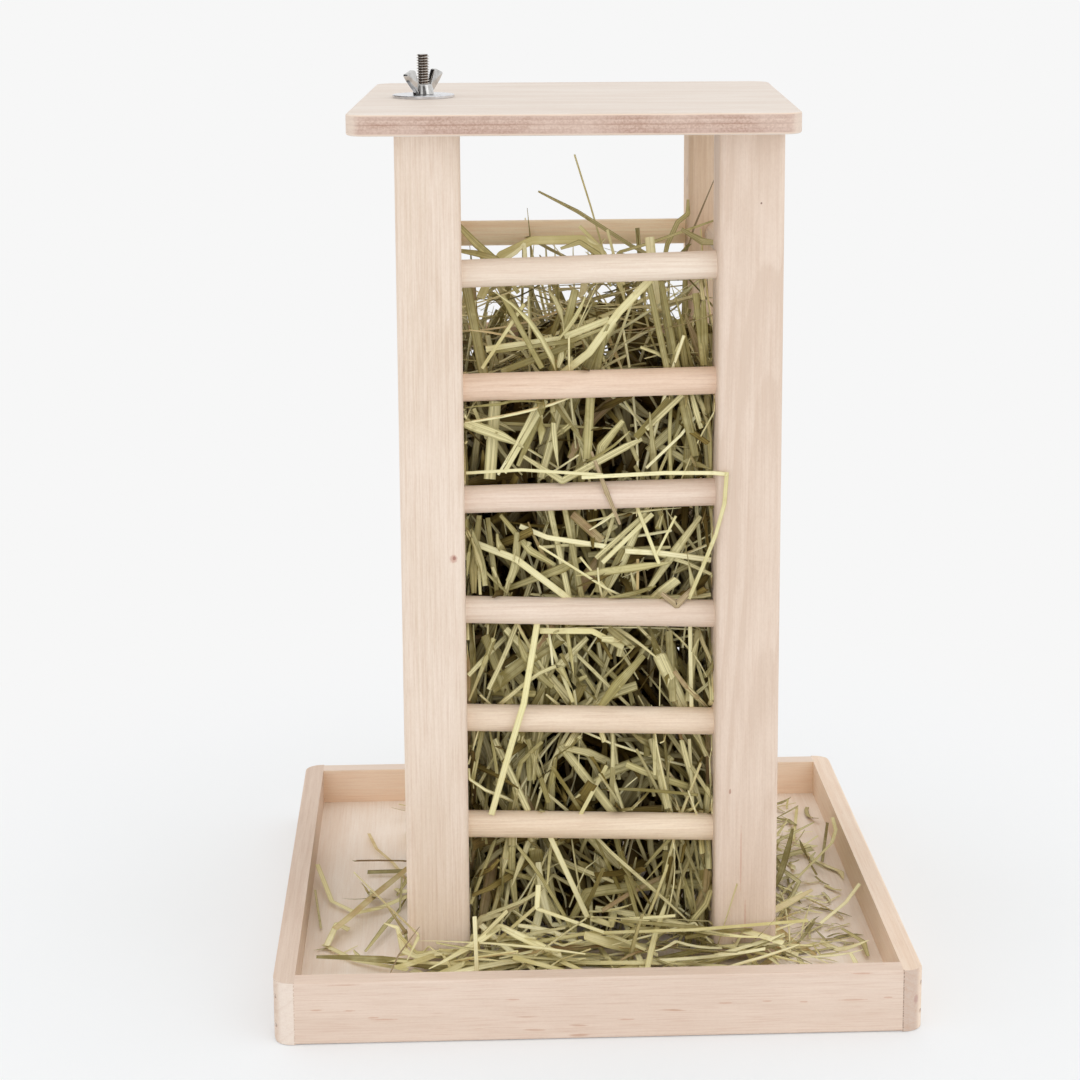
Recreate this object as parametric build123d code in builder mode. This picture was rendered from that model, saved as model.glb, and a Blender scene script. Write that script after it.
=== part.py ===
"""Hay feeder box: a square rack of dowel rungs that stands in a shallow tray.

A plywood lid lies on the four posts and swings about one vertical bolt, where a
wing nut clamps it. Origin: centre of the tray, on the ground. X to the right,
Y to the rear, Z up, millimetres.
"""

import os

from build123d import *

# Tray: two full-length side rails with the front and rear rails between them
tray_width = 300.0
tray_depth = 300.0
rail_height = 30.0
rail_thickness = 10.0
tray_corner_radius = 9.0
rail_edge_radius = 1.2
rail_arris = 0.4
side_rail_top_radius = 2.0
side_rail_bottom_radius = 4.5
floor_thickness = 10.0
floor_rise = 1.0

# Brads of the tray
brad_length = 25.0
brad_diameter = 1.4
brad_head_diameter = 2.2
brad_head_height = 0.8
floor_brad_set = 0.8
corner_brad_set = 2.0
corner_brad_pitch = 14.0
floor_brads_per_side = 4
floor_brad_end_distance = 45.0

# Tower: four posts in the middle of the tray
tower_width = 178.0
tower_depth = 178.0
post_size = 30.0
post_length = 400.0
post_edge_radius = 3.0

# Screws that hold the posts from below the floor
screw_length = 35.0
screw_diameter = 4.0
screw_head_diameter = 8.0
screw_head_height = 2.2
screw_slot_length = 4.2
screw_slot_width = 0.8
screw_slot_depth = 1.2

# Rungs: six levels on each side of the tower, glued into blind holes
rung_levels = 6
rung_diameter = 13.0
rung_end_margin = 66.0
rung_tenon = 7.8
rung_fit = 0.05
rung_hole_gap = 0.2
# how far the front rungs' right ends stand above (+) or below (-) their level, from the top
front_rung_drift = (3.0, 2.0, 2.0, -4.0, -4.0, -4.0)

# Rail between the two left posts, which carries the bolt of the lid
lid_rail_width = 20.0
lid_rail_height = 20.0
lid_rail_offset = 2.0
lid_rail_edge_radius = 1.5
peg_diameter = 8.0
peg_length = 24.0
peg_fit = 0.05
peg_hole_gap = 0.5

# Lid of plywood
lid_width = 205.0
lid_depth = 205.0
lid_thickness = 10.0
lid_corner_radius = 10.0
lid_edge_radius = 1.2
lid_hole_inset = 30.0
lid_hole_clearance = 0.08
lid_yaw = -2.7

# Carriage bolt, quarter inch with 20 threads to the inch, two inches long
bolt_diameter = 6.35
bolt_length = 50.8
bolt_head_diameter = 15.0
bolt_head_height = 3.6
bolt_neck_size = 6.6
bolt_neck_height = 3.8
bolt_hole_diameter = 6.6
bolt_tip_chamfer = 0.6

# Large washer
washer_diameter = 30.0
washer_hole = 7.0
washer_thickness = 1.5
washer_edge = 0.3

# Wing nut with square-ended wings
nut_bore_clearance = 0.05
nut_base_diameter = 10.4
nut_top_diameter = 8.4
nut_height = 5.0
nut_yaw = 50.0
wing_span = 26.8
wing_height = 12.0
wing_thickness = 2.8
wing_width = 6.2
wing_end_drop = 2.4
wing_foot = 0.7
wing_inset = 0.6
wing_corner_radius = 0.8

# Heights and places that follow
floor_top = floor_rise + floor_thickness
posts_top = floor_top + post_length
lid_top = posts_top + lid_thickness
nut_seat = lid_top + washer_thickness
rail_length = tray_width - 2 * rail_thickness
floor_width = tray_width - 2 * rail_thickness
floor_depth = tray_depth - 2 * rail_thickness
post_x = (tower_width - post_size) / 2
post_y = (tower_depth - post_size) / 2
gap_width = tower_width - 2 * post_size
gap_depth = tower_depth - 2 * post_size
rung_pitch = (post_length - 2 * rung_end_margin) / (rung_levels - 1)
bolt_x = -post_x - lid_rail_offset
lid_rail_bottom = posts_top - lid_rail_height
lid_rail_middle = posts_top - lid_rail_height / 2

os.makedirs("parts", exist_ok=True)


def finish(piece, label):
    """Name a finished piece and write it."""
    piece.part.label = label
    export_step(piece.part, f"parts/{label}.step")


# ---------------------------------------------------------------- tray: places of its brads


def corner_brad_planes():
    """Planes at the brads' heads: two in each end of each side rail, +Z going inwards."""
    planes = []
    for side in (-1, 1):
        for end in (-1, 1):
            for step in (-0.5, 0.5):
                place = (
                    side * (tray_width / 2 - corner_brad_set),
                    end * (tray_depth - rail_thickness) / 2,
                    rail_height / 2 + step * corner_brad_pitch,
                )
                planes.append(Plane(origin=place, x_dir=(0, 1, 0), z_dir=(-side, 0, 0)))
    return planes


def floor_brad_planes():
    """Planes at the heads of the brads that go through the side rails into the floor."""
    run = tray_depth - 2 * floor_brad_end_distance
    planes = []
    for side in (-1, 1):
        for index in range(floor_brads_per_side):
            place = (
                side * (tray_width / 2 - floor_brad_set),
                -run / 2 + index * run / (floor_brads_per_side - 1),
                floor_rise + floor_thickness / 2,
            )
            planes.append(Plane(origin=place, x_dir=(0, 1, 0), z_dir=(-side, 0, 0)))
    return planes


def brad_solids(mode):
    """One brad in the current location: its head, then its shank."""
    Cylinder(
        brad_head_diameter / 2,
        brad_head_height,
        align=(Align.CENTER, Align.CENTER, Align.MIN),
        mode=mode,
    )
    Cylinder(
        brad_diameter / 2,
        brad_length,
        align=(Align.CENTER, Align.CENTER, Align.MIN),
        mode=mode,
    )


def brad_sockets(planes):
    """Cut the holes of the brads, open to the outside down to each head."""
    with Locations(*planes):
        brad_solids(Mode.SUBTRACT)
        Cylinder(
            brad_head_diameter / 2,
            rail_thickness,
            align=(Align.CENTER, Align.CENTER, Align.MAX),
            mode=Mode.SUBTRACT,
        )


# ---------------------------------------------------------------- tray

for side, name in ((-1, "left"), (1, "right")):
    with BuildPart() as side_rail:
        with BuildSketch(Plane.XZ.offset(-tray_depth / 2)) as section:
            with Locations((side * (tray_width - rail_thickness) / 2, rail_height / 2)):
                Rectangle(rail_thickness, rail_height)
            section_corners = section.vertices().sort_by(Axis.X)
            outer_corners = section_corners[:2] if side < 0 else section_corners[-2:]
            inner_corners = section_corners[-2:] if side < 0 else section_corners[:2]
            fillet(outer_corners.sort_by(Axis.Z)[-1], side_rail_top_radius)
            fillet(outer_corners.sort_by(Axis.Z)[0], side_rail_bottom_radius)
            fillet(inner_corners.sort_by(Axis.Z)[-1], rail_arris)
        extrude(amount=tray_depth)
        with BuildSketch() as plan:
            with Locations((side * (tray_width - rail_thickness) / 2, 0)):
                Rectangle(rail_thickness, tray_depth)
            plan_corners = plan.vertices().sort_by(Axis.X)
            fillet(plan_corners[:2] if side < 0 else plan_corners[-2:], tray_corner_radius)
        extrude(amount=rail_height, mode=Mode.INTERSECT)
        brad_sockets(corner_brad_planes() + floor_brad_planes())
    finish(side_rail, f"tray_rail_{name}")

for end, name in ((-1, "front"), (1, "rear")):
    with BuildPart() as cross_rail:
        with Locations((0, end * (tray_depth - rail_thickness) / 2, 0)):
            Box(rail_length, rail_thickness, rail_height, align=(Align.CENTER, Align.CENTER, Align.MIN))
        long_edges = edges().filter_by(Axis.X).sort_by(Axis.Y)
        outer_edges = long_edges[:2] if end < 0 else long_edges[-2:]
        inner_edges = long_edges[-2:] if end < 0 else long_edges[:2]
        fillet(outer_edges, rail_edge_radius)
        fillet(inner_edges.sort_by(Axis.Z)[-1], rail_arris)
        brad_sockets(corner_brad_planes())
    finish(cross_rail, f"tray_rail_{name}")


def post_screw_planes():
    """Planes at the heads of the post screws, flush with the floor's underside, +Z going up."""
    return [
        Plane(origin=(x, y, floor_rise))
        for x in (-post_x, post_x)
        for y in (-post_y, post_y)
    ]


def screw_solids(mode):
    """One countersunk screw in the current location: its head cone, then its shank."""
    Cone(
        screw_head_diameter / 2,
        screw_diameter / 2,
        screw_head_height,
        align=(Align.CENTER, Align.CENTER, Align.MIN),
        mode=mode,
    )
    Cylinder(
        screw_diameter / 2,
        screw_length,
        align=(Align.CENTER, Align.CENTER, Align.MIN),
        mode=mode,
    )


with BuildPart() as tray_floor:
    with Locations((0, 0, floor_rise)):
        Box(floor_width, floor_depth, floor_thickness, align=(Align.CENTER, Align.CENTER, Align.MIN))
    with Locations(*post_screw_planes()):
        screw_solids(Mode.SUBTRACT)
    brad_sockets(floor_brad_planes())
finish(tray_floor, "tray_floor")

with BuildPart() as corner_brads:
    with Locations(*corner_brad_planes()):
        brad_solids(Mode.ADD)
finish(corner_brads, "corner_brads")

with BuildPart() as floor_brads:
    with Locations(*floor_brad_planes()):
        brad_solids(Mode.ADD)
finish(floor_brads, "floor_brads")

with BuildPart() as post_screws:
    with Locations(*post_screw_planes()):
        screw_solids(Mode.ADD)
        for turn in (0, 90):
            Box(
                screw_slot_length,
                screw_slot_width,
                screw_slot_depth,
                rotation=(0, 0, turn),
                align=(Align.CENTER, Align.CENTER, Align.MIN),
                mode=Mode.SUBTRACT,
            )
finish(post_screws, "post_screws")

# ---------------------------------------------------------------- rungs


def rung_ends(face, level):
    """The two points where a rung's axis meets the posts' sides, for a level from the top."""
    height = posts_top - rung_end_margin - level * rung_pitch
    half_width = gap_width / 2
    half_depth = gap_depth / 2
    if face == "front":
        drift = front_rung_drift[level] if level < len(front_rung_drift) else 0.0
        return Vector(-half_width, -post_y, height), Vector(half_width, -post_y, height + drift)
    if face == "rear":
        return Vector(-half_width, post_y, height), Vector(half_width, post_y, height)
    if face == "left":
        return Vector(-post_x, -half_depth, height), Vector(-post_x, half_depth, height)
    return Vector(post_x, -half_depth, height), Vector(post_x, half_depth, height)


def rung_bar(face, level, radius, end_reach, mode):
    """A round bar along a rung's axis that reaches past the posts' sides by end_reach."""
    start, stop = rung_ends(face, level)
    along = stop - start
    with Locations(Plane(origin=(start + stop) / 2, z_dir=along)):
        Cylinder(radius, along.length + 2 * end_reach, mode=mode)


faces_of_tower = ("front", "rear", "left", "right")

for face in faces_of_tower:
    for level in range(rung_levels):
        with BuildPart() as rung:
            rung_bar(face, level, rung_diameter / 2, rung_tenon, Mode.ADD)
        finish(rung, f"rung_{face}_{level + 1}")

# ---------------------------------------------------------------- rail under the lid


def peg_planes():
    """Planes at the middle of the two pegs between the lid rail and the left posts."""
    return [
        Plane(origin=(bolt_x, end * gap_depth / 2, lid_rail_middle), z_dir=(0, 1, 0))
        for end in (-1, 1)
    ]


def peg_holes():
    """Cut the holes of the two pegs."""
    with Locations(*peg_planes()):
        Cylinder(peg_diameter / 2 + peg_fit, peg_length + 2 * peg_hole_gap, mode=Mode.SUBTRACT)


with BuildPart() as lid_rail_pegs:
    with Locations(*peg_planes()):
        Cylinder(peg_diameter / 2, peg_length)
finish(lid_rail_pegs, "lid_rail_pegs")

with BuildPart() as lid_rail:
    with Locations((bolt_x, 0, lid_rail_bottom)):
        Box(
            lid_rail_width,
            gap_depth,
            lid_rail_height,
            align=(Align.CENTER, Align.CENTER, Align.MIN),
        )
    fillet(edges().filter_by(Axis.Y).sort_by(Axis.Z)[:2], lid_rail_edge_radius)
    peg_holes()
    with Locations((bolt_x, 0, lid_rail_bottom)):
        Cylinder(
            bolt_hole_diameter / 2,
            lid_rail_height,
            align=(Align.CENTER, Align.CENTER, Align.MIN),
            mode=Mode.SUBTRACT,
        )
        Box(
            bolt_neck_size,
            bolt_neck_size,
            bolt_neck_height,
            align=(Align.CENTER, Align.CENTER, Align.MIN),
            mode=Mode.SUBTRACT,
        )
finish(lid_rail, "lid_rail")

head_dome_radius = ((bolt_head_diameter / 2) ** 2 + bolt_head_height**2) / (2 * bolt_head_height)

with BuildPart() as carriage_bolt:
    with Locations((bolt_x, 0, lid_rail_bottom - bolt_head_height + head_dome_radius)):
        Sphere(head_dome_radius)
    split(bisect_by=Plane.XY.offset(lid_rail_bottom), keep=Keep.BOTTOM)
    with Locations((bolt_x, 0, lid_rail_bottom)):
        Box(
            bolt_neck_size,
            bolt_neck_size,
            bolt_neck_height,
            align=(Align.CENTER, Align.CENTER, Align.MIN),
        )
        Cylinder(
            bolt_diameter / 2,
            bolt_length,
            align=(Align.CENTER, Align.CENTER, Align.MIN),
        )
    chamfer(edges().filter_by(GeomType.CIRCLE).sort_by(Axis.Z)[-1], bolt_tip_chamfer)
finish(carriage_bolt, "carriage_bolt")

# ---------------------------------------------------------------- posts

post_places = (
    ("front_left", -1, -1),
    ("front_right", 1, -1),
    ("rear_left", -1, 1),
    ("rear_right", 1, 1),
)

for name, side, end in post_places:
    with BuildPart() as post:
        with Locations((side * post_x, end * post_y, floor_top)):
            Box(post_size, post_size, post_length, align=(Align.CENTER, Align.CENTER, Align.MIN))
        fillet(edges().filter_by(Axis.Z), post_edge_radius)
        post_faces = ("front" if end < 0 else "rear", "left" if side < 0 else "right")
        for face in post_faces:
            for level in range(rung_levels):
                rung_bar(
                    face,
                    level,
                    rung_diameter / 2 + rung_fit,
                    rung_tenon + rung_hole_gap,
                    Mode.SUBTRACT,
                )
        with Locations(*post_screw_planes()):
            screw_solids(Mode.SUBTRACT)
        peg_holes()
    finish(post, f"post_{name}")

# ---------------------------------------------------------------- lid

lid_plane = Plane(origin=(bolt_x, 0, posts_top)).rotated((0, 0, lid_yaw))

with BuildPart(lid_plane) as lid:
    with Locations((lid_width / 2 - lid_hole_inset, 0)):
        Box(lid_width, lid_depth, lid_thickness, align=(Align.CENTER, Align.CENTER, Align.MIN))
    fillet(edges().filter_by(Axis.Z), lid_corner_radius)
    fillet(faces().filter_by(Axis.Z).edges(), lid_edge_radius)
    Cylinder(
        bolt_diameter / 2 + lid_hole_clearance,
        lid_thickness,
        align=(Align.CENTER, Align.CENTER, Align.MIN),
        mode=Mode.SUBTRACT,
    )
finish(lid, "lid")

# ---------------------------------------------------------------- washer and wing nut

with BuildPart(Plane(origin=(bolt_x, 0, lid_top))) as washer:
    Cylinder(washer_diameter / 2, washer_thickness, align=(Align.CENTER, Align.CENTER, Align.MIN))
    Cylinder(
        washer_hole / 2,
        washer_thickness,
        align=(Align.CENTER, Align.CENTER, Align.MIN),
        mode=Mode.SUBTRACT,
    )
    fillet(edges().filter_by(GeomType.CIRCLE).sort_by(SortBy.RADIUS)[-2:], washer_edge)
finish(washer, "washer")

nut_bore = bolt_diameter / 2 + nut_bore_clearance
nut_plane = Plane(origin=(bolt_x, 0, nut_seat)).rotated((0, 0, nut_yaw))
wing_plane = Plane(origin=nut_plane.origin, x_dir=nut_plane.x_dir, z_dir=-nut_plane.y_dir)

with BuildPart() as wing_nut:
    with BuildSketch(nut_plane):
        Circle(nut_base_diameter / 2)
    with BuildSketch(nut_plane.offset(nut_height)):
        Circle(nut_top_diameter / 2)
    loft()
    for side in (-1, 1):
        with BuildSketch(wing_plane) as wing:
            with BuildLine():
                Polyline(
                    (side * (nut_bore + wing_inset), wing_foot),
                    (side * nut_base_diameter / 2, wing_foot),
                    (side * wing_span / 2, wing_height - wing_end_drop),
                    (side * (wing_span / 2 - wing_width), wing_height),
                    (side * (nut_bore + wing_inset), nut_height - wing_foot),
                    close=True,
                )
            make_face()
            fillet(wing.vertices().sort_by(Axis.Z)[-2:], wing_corner_radius)
        extrude(amount=wing_thickness / 2, both=True)
    with Locations(nut_plane):
        Cylinder(
            nut_bore,
            nut_height,
            align=(Align.CENTER, Align.CENTER, Align.MIN),
            mode=Mode.SUBTRACT,
        )
finish(wing_nut, "wing_nut")
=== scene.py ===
"""Hay feeder box for small animals, made of pale sanded wood, filled with hay."""

import math
import random

import bmesh
import bpy
from mathutils import Matrix, Vector


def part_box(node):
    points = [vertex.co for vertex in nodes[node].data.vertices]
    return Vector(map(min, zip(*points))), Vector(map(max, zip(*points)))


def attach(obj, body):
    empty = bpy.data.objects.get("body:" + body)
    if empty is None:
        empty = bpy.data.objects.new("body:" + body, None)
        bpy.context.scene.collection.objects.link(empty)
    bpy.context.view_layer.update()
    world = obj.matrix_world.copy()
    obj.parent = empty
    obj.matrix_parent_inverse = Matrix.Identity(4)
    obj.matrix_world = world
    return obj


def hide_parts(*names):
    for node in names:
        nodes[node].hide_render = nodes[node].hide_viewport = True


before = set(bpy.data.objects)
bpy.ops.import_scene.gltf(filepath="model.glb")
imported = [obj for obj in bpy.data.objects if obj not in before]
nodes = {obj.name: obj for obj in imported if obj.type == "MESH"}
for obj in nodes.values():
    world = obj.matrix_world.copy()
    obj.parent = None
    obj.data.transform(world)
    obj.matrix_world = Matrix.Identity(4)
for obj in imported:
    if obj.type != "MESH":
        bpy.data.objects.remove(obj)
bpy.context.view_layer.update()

MM = 0.001
scene = bpy.context.scene

# ---------------------------------------------------------------- places, from the frame

POST_INSIDE, POST_OUTSIDE = (corner.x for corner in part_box("post_rear_right"))
RAIL_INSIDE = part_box("tray_rail_right")[0].x
TRAY_FRONT, TRAY_REAR = (corner.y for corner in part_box("tray_rail_right"))
FLOOR_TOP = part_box("tray_floor")[1].z
LID_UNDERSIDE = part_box("lid")[0].z
RUNG_RADIUS = (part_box("rung_left_1")[1].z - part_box("rung_left_1")[0].z) / 2

BOLT_X = (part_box("carriage_bolt")[0].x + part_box("carriage_bolt")[1].x) / 2
BOLT_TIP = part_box("carriage_bolt")[1].z
RAIL_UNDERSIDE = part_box("lid_rail")[0].z
THREAD_START = LID_UNDERSIDE - 6 * MM
NUT_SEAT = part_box("wing_nut")[0].z

# A quarter inch bolt with 20 threads to the inch
BOLT_RADIUS = 3.175 * MM
THREAD_ROOT = 2.3 * MM
THREAD_PITCH = 1.27 * MM
TIP_CHAMFER = 0.6 * MM

# How far the wing nut and the lid stand turned about the bolt at rest
NUT_TURN = math.radians(50)
LID_TURN = math.radians(-2.7)

# How high the hay reaches in the middle of the tower
HAY_LEVEL = 302 * MM

# ---------------------------------------------------------------- shader helpers


def srgb(red, green, blue):
    """A colour as it shows on a screen, 0 to 255, in linear numbers."""
    linear = []
    for level in (red, green, blue):
        level /= 255
        linear.append(level / 12.92 if level <= 0.04045 else ((level + 0.055) / 1.055) ** 2.4)
    return (*linear, 1.0)


class Wire:
    """What a shader node puts out. Sums of wires place math nodes, part by part on vectors."""

    def __init__(self, socket):
        self.socket = socket

    def math(self, operation, *others):
        vector = self.socket.type == "VECTOR"
        node = add_node("VectorMath" if vector else "Math", self)
        node.operation = operation
        for socket, value in zip(node.inputs, (self, *others)):
            plug(socket, value)
        return Wire(node.outputs["Vector" if vector and operation != "LENGTH" else "Value"])

    def __add__(self, other):
        return self.math("ADD", other)

    def __sub__(self, other):
        return self.math("SUBTRACT", other)

    def __mul__(self, other):
        return self.math("MULTIPLY", other)

    def __truediv__(self, other):
        return self.math("DIVIDE", other)

    def __abs__(self):
        return self.math("ABSOLUTE")


def wires(node):
    return {socket.name: Wire(socket) for socket in node.outputs}


def add_node(kind, wire):
    """A new node in the tree that a wire comes from."""
    return wire.socket.id_data.nodes.new("ShaderNode" + kind)


def plug(socket, value):
    """Joins an input to a wire, or sets it to a plain value."""
    if isinstance(value, Wire):
        socket.id_data.links.new(value.socket, socket)
    else:
        socket.default_value = value


def mix(amount, first, second, way="MIX"):
    """A colour between two others."""
    node = add_node("Mix", amount)
    node.data_type = "RGBA"
    node.blend_type = way
    for index, value in ((0, amount), (6, first), (7, second)):
        plug(node.inputs[index], value)
    return Wire(node.outputs[2])


def step(value, low, high, bottom=0.0, top=1.0):
    """Goes smoothly from bottom to top while value goes from low to high."""
    node = add_node("MapRange", value)
    node.interpolation_type = "SMOOTHSTEP"
    for index, part in enumerate((value, low, high, bottom, top)):
        plug(node.inputs[index], part)
    return Wire(node.outputs[0])


def noise(vector, scale, detail=2.0, roughness=0.5):
    node = add_node("TexNoise", vector)
    settings = {"Vector": vector, "Scale": scale, "Detail": detail, "Roughness": roughness}
    for label, value in settings.items():
        plug(node.inputs[label], value)
    return Wire(node.outputs["Fac"])


def split(vector):
    node = add_node("SeparateXYZ", vector)
    plug(node.inputs[0], vector)
    return [Wire(socket) for socket in node.outputs]


def join(x, y, z):
    node = add_node("CombineXYZ", z)
    for socket, value in zip(node.inputs, (x, y, z)):
        plug(socket, value)
    return Wire(node.outputs[0])


def colour_steps(value, steps):
    """A colour ramp through (position, colour) steps."""
    node = add_node("ValToRGB", value)
    plug(node.inputs[0], value)
    ramp = node.color_ramp
    while len(ramp.elements) < len(steps):
        ramp.elements.new(0.5)
    for element, (position, colour) in zip(ramp.elements, steps):
        element.position = position
        element.color = srgb(*colour)
    return Wire(node.outputs[0])


def new_group(name, vectors, colours=(), numbers=(), gives=("Color", "Roughness", "Height")):
    """An empty node group with named sockets, the wires from its inputs and its outputs."""
    tree = bpy.data.node_groups.new(name, "ShaderNodeTree")
    for kind, labels in (("Vector", vectors), ("Color", colours), ("Float", numbers)):
        for label in labels:
            tree.interface.new_socket(label, in_out="INPUT", socket_type="NodeSocket" + kind)
    for label in gives:
        kind = "Color" if label == "Color" else "Float"
        tree.interface.new_socket(label, in_out="OUTPUT", socket_type="NodeSocket" + kind)
    taken = wires(tree.nodes.new("NodeGroupInput"))
    given = tree.nodes.new("NodeGroupOutput").inputs
    return tree, taken, given


def place_group(group, **values):
    """Places a node group; ring_centre stands for its input Ring Centre."""
    node = add_node("Group", values["vector"])
    node.node_tree = group
    for label, value in values.items():
        plug(node.inputs[label.replace("_", " ").title()], value)
    return wires(node)


def new_material(name, metallic=0.0, specular=0.5):
    """A new material, its shader's inputs and its texture coordinates."""
    material = bpy.data.materials.new(name)
    material.use_nodes = True
    tree = material.node_tree
    shader = tree.nodes["Principled BSDF"].inputs
    shader["Metallic"].default_value = metallic
    shader["Specular IOR Level"].default_value = specular
    return material, shader, wires(tree.nodes.new("ShaderNodeTexCoord"))


def finish_material(shader, colour, effect, depth, strength):
    """Joins a colour, and an effect's roughness and height, to a material's shader."""
    bump = add_node("Bump", colour)
    for label, value in (("Strength", strength), ("Distance", depth), ("Height", effect["Height"])):
        plug(bump.inputs[label], value)
    plug(shader["Base Color"], colour)
    plug(shader["Roughness"], effect["Roughness"])
    plug(shader["Normal"], Wire(bump.outputs[0]))


# ---------------------------------------------------------------- effects shared by materials


def make_grain_group():
    """Sanded wood with its grain along Z: rings, fibres, soft blotches, flecks and end grain."""
    tree, taken, given = new_group(
        "sanded wood grain",
        ("Vector", "Normal", "Ring Centre"),
        ("Light", "Dark", "Streak", "End"),
        ("Ring Width", "Rings", "Warp", "Taper", "Fibres", "Flecks", "End Marks"),
    )
    vector = taken["Vector"]

    def grained(stretch, scale, detail=2.0, roughness=0.5):
        """Noise that is drawn out along the grain."""
        return noise(vector * (1, 1, stretch), scale, detail, roughness)

    warp = (grained(0.22, 17.0) - 0.5) * taken["Warp"]
    offset = (vector - taken["Ring Centre"]) * (1, 1, 0)
    radius = offset.math("LENGTH") + warp + split(vector)[2] * taken["Taper"]
    turns = radius / taken["Ring Width"]
    saw = turns.math("FRACT")
    ring_tone = step(noise(turns.math("FLOOR"), 0.73, 0.0), 0.3, 0.7, 0.35, 1.0)
    fading = step(grained(0.3, 31.0, 1.0), 0.34, 0.62, 0.25, 1.0)
    ring = step(saw, 0.25, 0.86) * step(saw, 0.88, 1.0, 1.0, 0.0) * ring_tone * fading

    blotch = step(grained(0.24, 62.0, 3.0, 0.55), 0.3, 0.72)
    band = step(grained(0.02, 640.0, 2.0, 0.6), 0.34, 0.7)
    speckle = step(grained(0.45, 1300.0, 2.0, 0.6), 0.35, 0.7)
    fibre = grained(0.03, 1500.0, 3.0, 0.65)
    fleck = step(grained(0.07, 640.0, 1.0, 0.4), 0.70, 0.78)
    fleck = fleck * step(grained(0.4, 45.0, 1.0), 0.48, 0.62)

    tone = blotch * 0.55 + band * 0.36 + speckle * 0.24 + ring * taken["Rings"]
    colour = mix(tone.math("MINIMUM", 1.0), taken["Light"], taken["Dark"])
    colour = mix(step(fibre, 0.44, 0.7) * taken["Fibres"], colour, taken["Streak"])
    colour = mix(fleck * taken["Flecks"], colour, taken["Streak"])

    end_mask = step(abs(split(taken["Normal"])[2]), 0.55, 0.85)
    pores = step(noise(vector, 2300.0, 2.0, 0.7), 0.44, 0.72)
    sawn = step(noise(vector * (0.3, 1, 1), 900.0), 0.4, 0.8)
    end_tone = (ring * 0.5 + pores * 0.45 + sawn * 0.3).math("MINIMUM", 1.0)
    end_colour = mix(end_tone * taken["End Marks"], taken["End"], taken["Streak"])
    plug(given["Color"], mix(end_mask, colour, end_colour))
    plug(given["Roughness"], fibre * 0.16 + 0.5 + end_mask * 0.15)
    plug(given["Height"], fibre * 0.6 - ring * 0.35 - pores * end_mask * 0.8)
    return tree


def make_spot_group():
    """A soft-edged spot, such as a knot or a pinhole, at one place on a surface."""
    tree, taken, given = new_group("spot", ("Vector", "Centre", "Half Size"), gives=("Mask",))
    reach = ((taken["Vector"] - taken["Centre"]) / taken["Half Size"]).math("LENGTH")
    wobble = noise(taken["Vector"], 700.0) - 0.5
    plug(given["Mask"], step(wobble * 0.7 + reach, 0.5, 1.0, 1.0, 0.0))
    return tree


# The layers of a plywood board's edge, from the bottom up
PLY_LAYERS = (
    (0.00, (226, 202, 182)),
    (0.09, (230, 207, 187)),
    (0.12, (200, 170, 157)),
    (0.27, (210, 182, 168)),
    (0.30, (196, 166, 152)),
    (0.33, (217, 191, 176)),
    (0.47, (212, 184, 168)),
    (0.51, (176, 143, 127)),
    (0.55, (209, 180, 165)),
    (0.70, (220, 195, 180)),
    (0.73, (199, 169, 154)),
    (0.90, (213, 186, 171)),
    (0.925, (240, 217, 194)),
    (1.00, (243, 224, 206)),
)


def make_ply_group():
    """The layers that show on a plywood board's edges; its faces keep the Face colour."""
    tree, taken, given = new_group(
        "plywood edge", ("Vector", "Normal"), ("Face",), ("Bottom", "Thickness"), ("Color",)
    )
    vector = taken["Vector"]
    level = (split(vector)[2] - taken["Bottom"]) / taken["Thickness"]
    level = (noise(vector * (1, 1, 0.2), 60.0) - 0.5) * 0.05 + level
    mottle = step(noise(vector * (0.8, 0.8, 1), 1100.0, 3.0, 0.65), 0.36, 0.66)
    inner = step(abs(level - 0.5), 0.36, 0.42, 1.0, 0.0)
    layers = mix(mottle * inner * 0.6, colour_steps(level, PLY_LAYERS), srgb(172, 136, 118))
    drift = step(noise(vector * (1, 1, 3), 42.0), 0.35, 0.7, 0.0, 0.35)
    layers = mix(drift, layers, srgb(236, 216, 202))
    across, _, upward = split(taken["Normal"])
    layers = mix(step(abs(across), 0.35, 0.75, 0.0, 0.6), layers, srgb(240, 224, 208))
    plug(given["Color"], mix(step(abs(upward), 0.45, 0.8, 1.0, 0.0), taken["Face"], layers))
    return tree


def make_metal_group():
    """Bright metal that has been handled: fine scratches and cloudy patches."""
    tree, taken, given = new_group("handled metal", ("Vector",), ("Light", "Dark"), ("Smooth",))
    cloud = step(noise(taken["Vector"], 300.0, 3.0, 0.6), 0.4, 0.75)
    scratch = noise(taken["Vector"] * (1, 0.2, 1), 2600.0)
    plug(given["Color"], mix(cloud, taken["Light"], taken["Dark"]))
    plug(given["Roughness"], cloud * 0.06 + taken["Smooth"] + scratch * 0.04)
    plug(given["Height"], scratch)
    return tree


grain_group = make_grain_group()
spot_group = make_spot_group()
ply_group = make_ply_group()
metal_group = make_metal_group()

# ---------------------------------------------------------------- wood

GRAIN_TURN = {
    "x": Matrix.Rotation(math.radians(-90), 3, "Y"),
    "y": Matrix.Rotation(math.radians(90), 3, "X"),
    "z": Matrix.Identity(3),
    "lid": Matrix.Rotation(math.radians(-90), 3, "Y") @ Matrix.Rotation(-LID_TURN, 3, "Z"),
}
PLAIN_GRAIN = {
    "ring_centre": (-0.2, 0.01, 0),
    "ring_width": 0.0026,
    "rings": 0.5,
    "warp": 0.004,
    "taper": 0.0,
    "fibres": 0.3,
    "flecks": 0.3,
    "end_marks": 1.0,
}


def dress(material, *names):
    """Gives CAD nodes their material."""
    for name in names:
        nodes[name].data.materials.clear()
        nodes[name].data.materials.append(material)


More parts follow.
